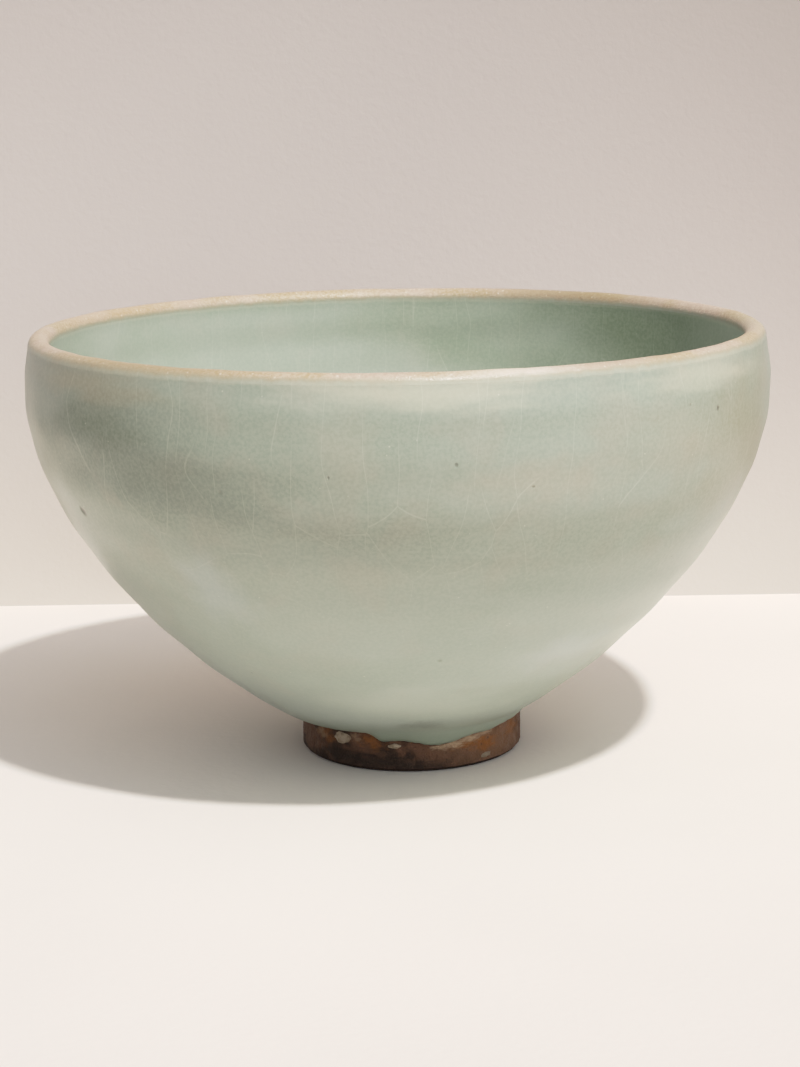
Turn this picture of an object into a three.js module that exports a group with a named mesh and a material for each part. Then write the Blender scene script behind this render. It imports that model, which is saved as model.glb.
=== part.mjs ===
// A deep stoneware bowl with rounded sides, a mouth that draws in a little and a small turned foot.
// A thick pale blue-green glaze covers it inside and out. It thins to a mushroom-coloured skin over
// the lip, and outside it stops in an uneven roll that laps down over the brown foot.
//
// Millimetres, +Z up. The origin is on the table, on the axis of the bowl's wall.
// A profile point is a Vector2 in the plane through that axis: x is the radius and y the height.
// A rail is the line that one profile point draws round the bowl. Where the bowl isn't truly round,
// its rail is a function that gives the profile point for each azimuth, counted from +X.

import * as THREE from 'three';

// Sizes of the clay wall, on the clay's own outside
const BELLY_RADIUS = 99;
const BELLY_HEIGHT = 101.5;
const LIP_HEIGHT = 114.2;
const MOUTH_CURVE_RADIUS = 125; // draws the wall in from the belly to the lip
const UNDERSIDE_ANGLE = THREE.MathUtils.degToRad(28); // how steeply the wall leaves the foot
const UNDERSIDE_RUN = 6; // the straight start of the wall, outward from the foot
const SIDE_PULL_LOW = 24; // how far the side's curve holds the direction of the underside
const SIDE_PULL_HIGH = 35.5; // how far below the belly the side already stands upright
const WALL_AT_LIP = 5;
const WALL_AT_FOOT = 8.5;
const FLOOR_THICKNESS = 8;

// Sizes of the turned foot
const FOOT_RADIUS = 30;
const FOOT_HEIGHT = 11.75; // from the table to where the wall leaves the foot
const FOOT_OFFSET = 2.4; // the foot was turned this far off the wall's axis, towards +X
const FOOT_WIDTH = 6.5; // across the ring that the bowl stands on
const FOOT_CHAMFER = 0.8;
const RECESS_DEPTH = 6.5;
const RECESS_TAPER = 2; // how much the recess narrows on its way up
const NIPPLE_RADIUS = 6; // the low point that turning left in the middle of the recess
const NIPPLE_HEIGHT = 1;

// Sizes of the glaze
const BOND = 0.1; // the line between the clay and what is fired on to it
const GLAZE_THICKNESS = 0.9;
const LIP_GLAZE_THICKNESS = 0.3;
const LIP_FADE = 10; // the glaze thins out over this much wall below the lip
const ROLL_SWELL = 0.8; // how much thicker the glaze has run together above the foot
const ROLL_REACH = 9; // how far up the wall that swelling reaches
const ROLL_FULLNESS = 2.2; // how far the rolled edge bulges out of the foot before it turns up
const POOL_DEPTH = 0.9; // how much thicker the glaze has pooled in the middle of the well
const POOL_RADIUS = 26;
const BASE_GLAZE_RADIUS = 15;
const BASE_GLAZE_THICKNESS = 0.7;
const BASE_GLAZE_WAVE = 1.4;
const BASE_GLAZE_WAVES = 3;

// How far the outer glaze ran down over the foot below its corner, in mm, at azimuths in degrees.
// It hangs in one long tongue in front, which starts with a step on its left.
const GLAZE_LAPS = [
  [-128, 0.4],
  [-108, 0.4],
  [-101, 2.9],
  [-93, 2.8],
  [-74, 4.6],
  [-50, 3.4],
  [-28, 2.7],
  [4, 1.4],
  [36, 2.7],
  [58, 1.2],
  [80, 3.6],
  [106, 0.8],
  [132, 2.2],
  [178, 0.6],
];

// The brown wash on the foot, and the pale splashes of glaze that dripped on to it
const WASH_THICKNESS = 0.25;
const WASH_BOTTOM = 1; // stays this far above the table
const SPLASHES = [
  { name: 'glaze_splash_left', azimuth: -128, height: 8.2, width: 6.2, length: 3.8, rise: 0.5 },
  { name: 'glaze_splash_centre', azimuth: -99, height: 7.4, width: 4, length: 1.6, rise: 0.45 },
  { name: 'glaze_splash_right', azimuth: -49, height: 2.5, width: 4, length: 1.8, rise: 0.45 },
];

// Fineness of the facets
const SIDES = 60;
const SIDE_SPANS = 8;
const MOUTH_SPANS = 2;
const LIP_SPANS = 6;
const WELL_SPANS = 4;
const ROLL_SPANS = 5;
const SPLASH_SIDES = 12;

const azimuths = Array.from({ length: SIDES }, (_, i) => (2 * Math.PI * i) / SIDES);

// Profile helpers

// Pushes an open profile sideways, to the right of its own direction.
function offsetProfile(profile, distanceAt) {
  return profile.map((point, i) => {
    const before = profile[Math.max(i - 1, 0)];
    const after = profile[Math.min(i + 1, profile.length - 1)];
    const along = after.clone().sub(before).normalize();
    const sideways = new THREE.Vector2(along.y, -along.x);
    return sideways.multiplyScalar(distanceAt(i)).add(point);
  });
}

// The distance from the start of a profile to each of its points
function distancesAlong(profile) {
  const distances = [0];
  for (let i = 1; i < profile.length; i++) {
    distances.push(distances[i - 1] + profile[i].distanceTo(profile[i - 1]));
  }
  return distances;
}

// A circle about the foot's own centre, as a distance from the bowl's axis
function footCircle(radius, azimuth) {
  const across = FOOT_OFFSET * Math.sin(azimuth);
  return FOOT_OFFSET * Math.cos(azimuth) + Math.sqrt(radius * radius - across * across);
}

// A rail about the foot's centre at one height
function footRail(radius, height) {
  return (azimuth) => new THREE.Vector2(footCircle(radius, azimuth), height);
}

// Joins neighbouring rails with facets. A Vector3 at either end closes the solid in a point;
// without one the last rail is joined to the first. Seen with the solid on the left of the
// rails' order, the facets face out.
function solidFromRails(rails) {
  const positions = [];
  const indices = [];
  const rings = rails.map((rail) => {
    const start = positions.length / 3;
    if (rail.isVector3) {
      positions.push(rail.x, rail.y, rail.z);
      return { start, count: 1 };
    }
    for (const azimuth of azimuths) {
      const point = rail.isVector2 ? rail : rail(azimuth);
      positions.push(point.x * Math.cos(azimuth), point.x * Math.sin(azimuth), point.y);
    }
    return { start, count: SIDES };
  });
  const joinRings = (a, b) => {
    for (let i = 0; i < SIDES; i++) {
      const next = (i + 1) % SIDES;
      if (a.count > 1) indices.push(a.start + i, a.start + next, b.start + (b.count > 1 ? next : 0));
      if (b.count > 1) indices.push(a.start + (a.count > 1 ? i : 0), b.start + next, b.start + i);
    }
  };
  for (let i = 1; i < rings.length; i++) joinRings(rings[i - 1], rings[i]);
  if (!rails[0].isVector3) joinRings(rings[rings.length - 1], rings[0]);
  const geometry = new THREE.BufferGeometry();
  geometry.setAttribute('position', new THREE.Float32BufferAttribute(positions, 3));
  geometry.setIndex(indices);
  geometry.computeVertexNormals();
  return geometry;
}

// The clay wall

function undersideHeight(radius) {
  return FOOT_HEIGHT + (radius - FOOT_RADIUS) * Math.tan(UNDERSIDE_ANGLE);
}

// The outside of the clay, from the end of the straight underside up to the lip
function clayOutside() {
  const start = new THREE.Vector2(FOOT_RADIUS + UNDERSIDE_RUN, undersideHeight(FOOT_RADIUS + UNDERSIDE_RUN));
  const underside = new THREE.Vector2(Math.cos(UNDERSIDE_ANGLE), Math.sin(UNDERSIDE_ANGLE));
  const belly = new THREE.Vector2(BELLY_RADIUS, BELLY_HEIGHT);
  const side = new THREE.CubicBezierCurve(
    start,
    underside.multiplyScalar(SIDE_PULL_LOW).add(start),
    new THREE.Vector2(BELLY_RADIUS, BELLY_HEIGHT - SIDE_PULL_HIGH),
    belly,
  );
  const points = side.getPoints(SIDE_SPANS);
  const turn = Math.asin((LIP_HEIGHT - BELLY_HEIGHT) / MOUTH_CURVE_RADIUS);
  for (let i = 1; i <= MOUTH_SPANS; i++) {
    const angle = (turn * i) / MOUTH_SPANS;
    points.push(
      new THREE.Vector2(
        BELLY_RADIUS - MOUTH_CURVE_RADIUS * (1 - Math.cos(angle)),
        BELLY_HEIGHT + MOUTH_CURVE_RADIUS * Math.sin(angle),
      ),
    );
  }
  return { points, turn };
}

const { points: outside, turn: lipLean } = clayOutside();
const outsideDistances = distancesAlong(outside);
const wallLength = outsideDistances[outsideDistances.length - 1];

// The clay is thickest over the foot and thins towards the lip.
function wallThickness(i) {
  const toLip = 1 - outsideDistances[i] / wallLength;
  return WALL_AT_LIP + (WALL_AT_FOOT - WALL_AT_LIP) * toLip * toLip;
}

const insideWall = offsetProfile(outside, (i) => -wallThickness(i)).reverse();

// The well rises from its middle and runs into the inside of the wall.
function clayWell() {
  const floor = RECESS_DEPTH + FLOOR_THICKNESS;
  const rim = insideWall[insideWall.length - 1];
  const above = insideWall[insideWall.length - 2];
  const slope = (above.y - rim.y) / (above.x - rim.x);
  const bend = new THREE.Vector2(rim.x - (rim.y - floor) / slope, floor);
  const curve = new THREE.QuadraticBezierCurve(rim, bend, new THREE.Vector2(0, floor));
  return curve.getPoints(WELL_SPANS).slice(1);
}

const well = clayWell();
const inside = [...insideWall, ...well];

// The clay lip is a half circle between the outside and the inside of the wall.
function lipArc(radius, fromAngle, toAngle) {
  const centre = outside[outside.length - 1].clone().add(insideWall[0]).multiplyScalar(0.5);
  return Array.from({ length: LIP_SPANS + 1 }, (_, i) => {
    const angle = fromAngle + ((toAngle - fromAngle) * i) / LIP_SPANS;
    return new THREE.Vector2(centre.x + radius * Math.cos(angle), centre.y + radius * Math.sin(angle));
  });
}

const recessRadius = FOOT_RADIUS - FOOT_WIDTH;

// The corner where the foot's side meets the underside of the wall. It rises and falls round the
// bowl, because the foot is off the wall's axis.
function footCorner(azimuth) {
  const radius = footCircle(FOOT_RADIUS, azimuth);
  return new THREE.Vector2(radius, undersideHeight(radius));
}

function stonewareBody() {
  const lip = lipArc(WALL_AT_LIP / 2, lipLean, lipLean + Math.PI).slice(1, -1);
  return solidFromRails([
    new THREE.Vector3(FOOT_OFFSET, 0, RECESS_DEPTH - NIPPLE_HEIGHT),
    footRail(NIPPLE_RADIUS, RECESS_DEPTH),
    footRail(recessRadius - RECESS_TAPER, RECESS_DEPTH),
    footRail(recessRadius, FOOT_CHAMFER),
    footRail(recessRadius + FOOT_CHAMFER, 0),
    footRail(FOOT_RADIUS - FOOT_CHAMFER, 0),
    footRail(FOOT_RADIUS, FOOT_CHAMFER),
    footCorner,
    ...outside,
    ...lip,
    ...inside.slice(0, -1),
    new THREE.Vector3(0, 0, inside[inside.length - 1].y),
  ]);
}

// The glaze

// How thick the glaze is at a distance below the lip
function thicknessBelowLip(distance) {
  const fade = THREE.MathUtils.smoothstep(distance, 0, LIP_FADE);
  return THREE.MathUtils.lerp(LIP_GLAZE_THICKNESS, GLAZE_THICKNESS, fade);
}

// How far down the foot the outer glaze reaches below the corner
function edgeLap(azimuth) {
  const turned = THREE.MathUtils.euclideanModulo(THREE.MathUtils.radToDeg(azimuth) - GLAZE_LAPS[0][0], 360);
  const laps = [...GLAZE_LAPS, [GLAZE_LAPS[0][0] + 360, GLAZE_LAPS[0][1]]];
  const next = laps.findIndex(([end]) => end - GLAZE_LAPS[0][0] > turned);
  const [start, lapAtStart] = laps[next - 1];
  const [end, lapAtEnd] = laps[next];
  const share = THREE.MathUtils.smoothstep(turned + GLAZE_LAPS[0][0], start, end);
  return THREE.MathUtils.lerp(lapAtStart, lapAtEnd, share);
}

// The line on the foot where the outer glaze ends
function glazeEdge(azimuth) {
  return new THREE.Vector2(footCircle(FOOT_RADIUS + BOND, azimuth), footCorner(azimuth).y - edgeLap(azimuth));
}

// The rolled edge bulges out of the foot and turns up into the glaze on the wall.
function rollRails(rollTop, upTheWall) {
  return Array.from({ length: ROLL_SPANS }, (_, i) => (azimuth) => {
    const edge = glazeEdge(azimuth);
    const reach = edge.distanceTo(rollTop) / 2;
    const bulge = new THREE.Vector2(ROLL_FULLNESS, 0).add(edge);
    const below = rollTop.clone().addScaledVector(upTheWall, -reach);
    return new THREE.CubicBezierCurve(edge, bulge, below, rollTop).getPoint(i / ROLL_SPANS);
  });
}

function outerGlaze() {
  const bonded = offsetProfile(outside, () => BOND);
  const surface = offsetProfile(outside, (i) => {
    const swell = ROLL_SWELL * Math.exp(-(((outsideDistances[i] + UNDERSIDE_RUN) / ROLL_REACH) ** 2));
    return BOND + thicknessBelowLip(wallLength - outsideDistances[i]) + swell;
  });
  const upTheWall = surface[1].clone().sub(surface[0]).normalize();
  const bondedCorner = (azimuth) => {
    const radius = footCircle(FOOT_RADIUS + BOND, azimuth);
    return new THREE.Vector2(radius, undersideHeight(radius) - BOND / Math.cos(UNDERSIDE_ANGLE));
  };
  return solidFromRails([
    ...rollRails(surface[0], upTheWall),
    ...surface,
    ...bonded.reverse(),
    bondedCorner,
  ]);
}

function lipGlaze() {
  const bondedRadius = WALL_AT_LIP / 2 + BOND;
  const joint = BOND / bondedRadius; // the angle that keeps it off the glaze on either side
  const from = lipLean + joint;
  const to = lipLean + Math.PI - joint;
  return solidFromRails([
    ...lipArc(bondedRadius + LIP_GLAZE_THICKNESS, from, to),
    ...lipArc(bondedRadius, from, to).reverse(),
  ]);
}

function innerGlaze() {
  const belowLip = distancesAlong(inside);
  const bonded = offsetProfile(inside, () => BOND);
  const surface = offsetProfile(inside, (i) => {
    const pool = POOL_DEPTH * Math.exp(-((inside[i].x / POOL_RADIUS) ** 2));
    return BOND + thicknessBelowLip(belowLip[i]) + pool;
  });
  const middle = (profile) => new THREE.Vector3(0, 0, profile[profile.length - 1].y);
  return solidFromRails([
    middle(bonded),
    ...bonded.slice(0, -1).reverse(),
    ...surface.slice(0, -1),
    middle(surface),
  ]);
}

// A splash of glaze on the floor of the recess, with a wavy edge
function baseGlaze() {
  const edgeRadius = (azimuth) => BASE_GLAZE_RADIUS + BASE_GLAZE_WAVE * Math.sin(BASE_GLAZE_WAVES * azimuth);
  const bondedHeight = RECESS_DEPTH - BOND;
  const faceHeight = bondedHeight - BASE_GLAZE_THICKNESS;
  const rounding = BASE_GLAZE_THICKNESS;
  const edge = (azimuth) => footRail(edgeRadius(azimuth), bondedHeight)(azimuth);
  const shoulder = (azimuth) => footRail(edgeRadius(azimuth) - rounding, faceHeight)(azimuth);
  const middle = (height) => new THREE.Vector3(FOOT_OFFSET, 0, height - NIPPLE_HEIGHT);
  return solidFromRails([
    middle(faceHeight),
    footRail(NIPPLE_RADIUS, faceHeight),
    shoulder,
    edge,
    footRail(NIPPLE_RADIUS, bondedHeight),
    middle(bondedHeight),
  ]);
}

// The foot's brown wash and its splashes

const washRadius = FOOT_RADIUS + BOND + WASH_THICKNESS;

function footWash() {
  const top = (radius) => (azimuth) => {
    return new THREE.Vector2(footCircle(radius, azimuth), glazeEdge(azimuth).y - BOND);
  };
  return solidFromRails([
    footRail(FOOT_RADIUS + BOND, WASH_BOTTOM),
    footRail(washRadius, WASH_BOTTOM),
    top(washRadius),
    top(FOOT_RADIUS + BOND),
  ]);
}

// A flat-backed drop, domed in front. Its flat back touches the wash at the drop's middle.
function splashGeometry({ width, length, rise }) {
  const dome = [
    new THREE.Vector2(0, 0),
    new THREE.Vector2(1, 0),
    new THREE.Vector2(0.85, rise * 0.6),
    new THREE.Vector2(0.5, rise * 0.9),
    new THREE.Vector2(0, rise),
  ];
  return new THREE.LatheGeometry(dome, SPLASH_SIDES).scale(width / 2, 1, length / 2).rotateZ(-Math.PI / 2);
}

function placeSplash(mesh, { azimuth, height }) {
  const angle = THREE.MathUtils.degToRad(azimuth);
  const distance = washRadius + BOND;
  mesh.position.set(FOOT_OFFSET + distance * Math.cos(angle), distance * Math.sin(angle), height);
  mesh.rotation.z = angle;
}

// Materials

const stoneware = new THREE.MeshStandardMaterial({ color: 0x7d6c5b, roughness: 0.85, metalness: 0 });
const glaze = new THREE.MeshStandardMaterial({ color: 0xb2b4a3, roughness: 0.35, metalness: 0 });
const wellGlaze = new THREE.MeshStandardMaterial({ color: 0xa6ac9f, roughness: 0.3, metalness: 0 });
const mushroomGlaze = new THREE.MeshStandardMaterial({ color: 0xcdc0ae, roughness: 0.5, metalness: 0 });
const brownWash = new THREE.MeshStandardMaterial({ color: 0x3a2a20, roughness: 0.8, metalness: 0 });
const splashGlaze = new THREE.MeshStandardMaterial({ color: 0xaaa193, roughness: 0.6, metalness: 0 });

// Assembly

const bowl = new THREE.Group();

function addPiece(name, geometry, material) {
  const mesh = new THREE.Mesh(geometry, material);
  mesh.name = name;
  bowl.add(mesh);
  return mesh;
}

addPiece('stoneware_body', stonewareBody(), stoneware);
addPiece('outer_glaze', outerGlaze(), glaze);
addPiece('lip_glaze', lipGlaze(), mushroomGlaze);
addPiece('inner_glaze', innerGlaze(), wellGlaze);
addPiece('base_glaze', baseGlaze(), glaze);
addPiece('foot_wash', footWash(), brownWash);
for (const splash of SPLASHES) {
  placeSplash(addPiece(splash.name, splashGeometry(splash), splashGlaze), splash);
}

export default bowl;
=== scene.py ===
# %% [markdown]
# # A stoneware bowl under a thick blue-green glaze
#
# The bowl was thrown on a wheel, its foot was turned off-centre, and a thick milky glaze was fired
# over it. The glaze is what the eye sees: it thins to mushroom brown at the lip, runs together above
# the foot and stops there in an uneven roll. Each fired layer is its own mesh here, as in the frame.
#
# Blender works in metres. All the sizes below are written in millimetres and turned into metres when a
# mesh is made, because a potter thinks in millimetres.

# %% Open the frame
import math

import bpy
import numpy as np
from mathutils import Euler, Matrix, Vector, noise


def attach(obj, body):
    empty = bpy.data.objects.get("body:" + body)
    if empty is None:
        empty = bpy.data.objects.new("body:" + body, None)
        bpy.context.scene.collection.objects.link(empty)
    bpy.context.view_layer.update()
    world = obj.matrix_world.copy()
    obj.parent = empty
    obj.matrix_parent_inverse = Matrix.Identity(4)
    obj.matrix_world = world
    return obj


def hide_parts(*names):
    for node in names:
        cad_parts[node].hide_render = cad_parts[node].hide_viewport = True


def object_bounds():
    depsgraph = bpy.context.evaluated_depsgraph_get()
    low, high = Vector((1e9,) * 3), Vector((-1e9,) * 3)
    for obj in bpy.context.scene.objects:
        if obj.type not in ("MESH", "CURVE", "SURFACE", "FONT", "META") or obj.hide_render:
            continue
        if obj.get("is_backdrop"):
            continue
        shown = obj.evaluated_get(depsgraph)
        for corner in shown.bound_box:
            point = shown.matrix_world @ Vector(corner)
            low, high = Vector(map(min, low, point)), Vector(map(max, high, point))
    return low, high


MM = 0.001
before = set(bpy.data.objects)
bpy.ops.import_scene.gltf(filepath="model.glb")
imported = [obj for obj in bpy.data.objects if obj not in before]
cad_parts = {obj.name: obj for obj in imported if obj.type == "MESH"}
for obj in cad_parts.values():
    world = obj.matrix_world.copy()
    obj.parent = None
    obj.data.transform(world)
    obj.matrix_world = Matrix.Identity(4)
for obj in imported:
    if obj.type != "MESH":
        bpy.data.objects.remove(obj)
cad_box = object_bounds()
print("frame nodes:", sorted(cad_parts))

# %% [markdown]
# ## The camera
#
# The photograph was taken from about 65 cm away, a little above the lip, with a long lens. A camera
# that stands further back with a longer lens flattens the mouth's ellipse, so the distance matters as
# much as the direction. The camera rolls by almost a degree, as a hand-held one does.

# %% Place the camera
CAMERA_DISTANCE = 619.8
CAMERA_HEIGHT = 188.9
CAMERA_PITCH = 11.83  # degrees below the horizon
CAMERA_ROLL = -0.9
CAMERA_LENS = 77.6  # millimetres on a sensor 36 mm tall
CAMERA_SENSOR = 36


def place_camera():
    data = bpy.data.cameras.new("camera")
    data.sensor_width = CAMERA_SENSOR
    data.lens = CAMERA_LENS
    data.clip_start = 10 * MM
    camera = bpy.data.objects.new("camera", data)
    bpy.context.collection.objects.link(camera)
    camera.location = (0, -CAMERA_DISTANCE * MM, CAMERA_HEIGHT * MM)
    pitched = Euler((math.radians(90 - CAMERA_PITCH), 0, 0)).to_matrix()
    camera.rotation_euler = (pitched @ Matrix.Rotation(math.radians(CAMERA_ROLL), 3, "Z")).to_euler()
    bpy.context.scene.camera = camera
    return camera


camera = place_camera()
print("camera at", [round(value, 3) for value in camera.location])

# %% [markdown]
# ## The bowl's profile
#
# A turned form is one profile carried round an axis. The profile could be a long list of measured
# points, but a potter's wall is a few simple sweeps, so this one is a straight underside, one Bézier
# curve up the side and a shallow arc in to the lip. The same sizes drive the frame.

# %% Sizes of the clay
BELLY_RADIUS = 99
BELLY_HEIGHT = 101.5
LIP_HEIGHT = 114.2
MOUTH_CURVE_RADIUS = 125
UNDERSIDE_ANGLE = math.radians(28)
UNDERSIDE_RUN = 6
SIDE_PULL_LOW = 24
SIDE_PULL_HIGH = 35.5
WALL_AT_LIP = 5
WALL_AT_FOOT = 8.5
FLOOR_THICKNESS = 8
FOOT_RADIUS = 30
FOOT_HEIGHT = 11.75
FOOT_OFFSET = 2.4
FOOT_WIDTH = 6.5
FOOT_CHAMFER = 0.8
RECESS_DEPTH = 6.5
RECESS_TAPER = 2
NIPPLE_RADIUS = 6
NIPPLE_HEIGHT = 1

# %% Draw the outside of the clay


def bezier(p0, p1, p2, p3, count):
    t = np.linspace(0, 1, count)[:, None]
    return (1 - t) ** 3 * p0 + 3 * (1 - t) ** 2 * t * p1 + 3 * (1 - t) * t**2 * p2 + t**3 * p3


def underside_height(radius):
    return FOOT_HEIGHT + (radius - FOOT_RADIUS) * math.tan(UNDERSIDE_ANGLE)


def clay_outside(side_rows, mouth_rows):
    """Radius and height from the end of the straight underside up to the lip"""
    start = np.array([FOOT_RADIUS + UNDERSIDE_RUN, underside_height(FOOT_RADIUS + UNDERSIDE_RUN)])
    outward = np.array([math.cos(UNDERSIDE_ANGLE), math.sin(UNDERSIDE_ANGLE)])
    belly = np.array([BELLY_RADIUS, BELLY_HEIGHT])
    side = bezier(start, start + SIDE_PULL_LOW * outward, belly - [0, SIDE_PULL_HIGH], belly, side_rows)
    turn = math.asin((LIP_HEIGHT - BELLY_HEIGHT) / MOUTH_CURVE_RADIUS)
    angles = np.linspace(0, turn, mouth_rows)[1:]
    mouth_radius = BELLY_RADIUS - MOUTH_CURVE_RADIUS * (1 - np.cos(angles))
    mouth_height = BELLY_HEIGHT + MOUTH_CURVE_RADIUS * np.sin(angles)
    return np.vstack([side, np.column_stack([mouth_radius, mouth_height])]), turn


outside, lip_lean = clay_outside(side_rows=96, mouth_rows=12)
print("outside rows:", len(outside), "lip leans in by", round(math.degrees(lip_lean), 1), "degrees")

# %% Draw the inside of the clay


def distances_along(profile):
    return np.concatenate([[0], np.cumsum(np.linalg.norm(np.diff(profile, axis=0), axis=1))])


def offset(profile, distance):
    """Pushes a profile to the right of its own direction"""
    along = np.gradient(profile, axis=0)
    along /= np.linalg.norm(along, axis=1)[:, None]
    sideways = np.column_stack([along[:, 1], -along[:, 0]])
    return profile + sideways * np.reshape(distance, (-1, 1))


wall_length = distances_along(outside)[-1]
to_lip = 1 - distances_along(outside) / wall_length
inside_wall = offset(outside, -(WALL_AT_LIP + (WALL_AT_FOOT - WALL_AT_LIP) * to_lip**2))[::-1]


def clay_well(rows):
    """From the low end of the inside wall to the middle of the floor"""
    floor = RECESS_DEPTH + FLOOR_THICKNESS
    above, rim = inside_wall[-2], inside_wall[-1]
    slope = (above[1] - rim[1]) / (above[0] - rim[0])
    bend = np.array([rim[0] - (rim[1] - floor) / slope, floor])
    t = np.linspace(0, 1, rows)[1:, None]
    return (1 - t) ** 2 * rim + 2 * (1 - t) * t * bend + t**2 * np.array([0, floor])


inside = np.vstack([inside_wall, clay_well(rows=24)])
print("inside rows:", len(inside), "wall is", round(wall_length, 1), "mm along its outside")

# %% [markdown]
# ## Turning a profile into a mesh
#
# Blender's Screw modifier would turn a profile too, but every ring here may differ round the bowl: the
# foot is off-centre and the glaze edge wanders. So each ring is worked out as a whole, as arrays of
# radius and height against azimuth, and neighbouring rings are joined with quads. Smooth noise then
# moves the surface by tenths of a millimetre, which is what keeps a hand-made form from looking cast.

# %% Mesh helpers
COLUMNS = 320
SHARP_CORNER = math.radians(50)
azimuths = np.arange(COLUMNS) * 2 * math.pi / COLUMNS


def ring(radius, height):
    """One row of points round the bowl, from numbers or from arrays over the azimuths"""
    return np.column_stack([np.broadcast_to(radius, COLUMNS), np.broadcast_to(height, COLUMNS)])


def rings(profile):
    return [ring(radius, height) for radius, height in profile]


def foot_circle(radius):
    """A circle about the foot's own centre, as distances from the bowl's axis"""
    across = FOOT_OFFSET * np.sin(azimuths)
    return FOOT_OFFSET * np.cos(azimuths) + np.sqrt(radius**2 - across**2)


def foot_ring(radius, height):
    return ring(foot_circle(radius), height)


def new_piece(name, points, faces, smooth=True):
    mesh = bpy.data.meshes.new(name)
    mesh.from_pydata((np.asarray(points) * MM).tolist(), [], faces)
    mesh.polygons.foreach_set("use_smooth", [smooth] * len(mesh.polygons))
    mesh.set_sharp_from_angle(angle=SHARP_CORNER)
    piece = bpy.data.objects.new(name, mesh)
    bpy.context.collection.objects.link(piece)
    return piece


def turned(name, rows, first_pole=None, last_pole=None):
    """Joins rings into one closed surface, ended by poles on or near the axis or closed on itself"""
    table = np.array(rows)
    x = table[:, :, 0] * np.cos(azimuths)
    y = table[:, :, 0] * np.sin(azimuths)
    points = np.stack([x, y, table[:, :, 1]], axis=2).reshape(-1, 3)
    columns = np.arange(COLUMNS)
    beside = np.roll(columns, -1)
    faces = []
    last = len(rows) if first_pole is None else len(rows) - 1
    for row in range(last):
        low = row * COLUMNS
        high = (row + 1) % len(rows) * COLUMNS
        faces += np.column_stack([low + columns, low + beside, high + beside, high + columns]).tolist()
    for pole, row in ((first_pole, 0), (last_pole, len(rows) - 1)):
        if pole is None:
            continue
        points = np.vstack([points, pole])
        tip = np.full(COLUMNS, len(points) - 1)
        edge = row * COLUMNS + np.stack([columns, beside] if row else [beside, columns])
        faces += np.column_stack([*edge, tip]).tolist()
    return new_piece(name, points, faces)


def relief(piece, depth_at):
    """Moves each point along its normal by depth_at(point), all in millimetres"""
    mesh = piece.data
    normals = [vertex.normal.copy() for vertex in mesh.vertices]
    for vertex, normal in zip(mesh.vertices, normals):
        vertex.co += normal * depth_at(vertex.co / MM) * MM
    mesh.update()


def soft_noise(point, size, seed=0.0, upright=1.0):
    """Smooth noise between about -1 and 1, whose lumps are about size across"""
    place = Vector((point.x / size + seed, point.y / size - seed, point.z / size / upright + seed))
    return noise.noise(place)


def dress(piece, material, *nodes, slot=None):
    """Gives a piece its material, and lets it stand for its nodes in the frame"""
    piece.data.materials.append(material)
    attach(piece, "root")
    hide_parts(*nodes)
    print(piece.name, "has", len(piece.data.polygons), "faces and stands for", ", ".join(nodes))


# %% [markdown]
# ## Shader helpers
#
# Every finish below is built from nodes in code. A few small helpers keep that readable: one adds a node
# and fills its sockets with values or links, and another opens a node group with named sockets. Groups
# hold the effects that several finishes share, so crackle on the outside and inside is one recipe.

# %% Node helpers


def add(tree, kind, inputs=None, **settings):
    made = tree.nodes.new("ShaderNode" + kind)
    for name, value in settings.items():
        setattr(made, name, value)
    for socket, value in (inputs or {}).items():
        if isinstance(value, bpy.types.NodeSocket):
            tree.links.new(value, made.inputs[socket])
        else:
            made.inputs[socket].default_value = value
    return made


def math_node(tree, operation, first, second=0.0):
    return add(tree, "Math", {0: first, 1: second}, operation=operation).outputs[0]


def vector_node(tree, operation, first, second):
    return add(tree, "VectorMath", {0: first, 1: second}, operation=operation).outputs[0]


def length_of(tree, vector):
    return add(tree, "VectorMath", {0: vector}, operation="LENGTH").outputs["Value"]


def mix_colour(tree, factor, first, second):
    return add(tree, "Mix", {0: factor, 6: first, 7: second}, data_type="RGBA").outputs[2]


def tinted(tree, colour, mask, strength, tint):
    """Lays a tint over a colour where the mask is, at part of its strength"""
    return mix_colour(tree, math_node(tree, "MULTIPLY", mask, strength), colour, tint)


def remap(tree, value, low, high, to_low=0.0, to_high=1.0):
    sockets = {0: value, 1: low, 2: high, 3: to_low, 4: to_high}
    return add(tree, "MapRange", sockets, interpolation_type="SMOOTHSTEP").outputs[0]


def open_group(name, inputs, outputs):
    """A group with a place on the bowl and some more inputs, which puts out masks"""
    tree = bpy.data.node_groups.new(name, "ShaderNodeTree")
    for label, value in {"Place": (0, 0, 0), **inputs}.items():
        kind = "NodeSocketVector" if isinstance(value, tuple) else "NodeSocketFloat"
        tree.interface.new_socket(label, in_out="INPUT", socket_type=kind).default_value = value
    for label in outputs:
        tree.interface.new_socket(label, in_out="OUTPUT", socket_type="NodeSocketFloat")
    return tree, tree.nodes.new("NodeGroupInput").outputs, tree.nodes.new("NodeGroupOutput").inputs


def use_group(tree, group, inputs):
    return add(tree, "Group", inputs, node_tree=group).outputs


def srgb(red, green, blue):
    """A screen colour from 0 to 255, as the linear colour that a shader wants"""
    parts = [value / 255 for value in (red, green, blue)]
    return (*[p / 12.92 if p <= 0.04045 else ((p + 0.055) / 1.055) ** 2.4 for p in parts], 1.0)


# %% [markdown]
# ## Effects that the finishes share
#
# A glaze is never one colour. Clouds in its thickness change its tone, a network of fine cracks forms
# as it cools, burst bubbles leave pinholes, and iron from the clay shows wherever the coat runs thin.
# Each of these is a group that takes a place on the bowl in millimetres and puts out a mask.

# %% Clouds and grain


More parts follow.
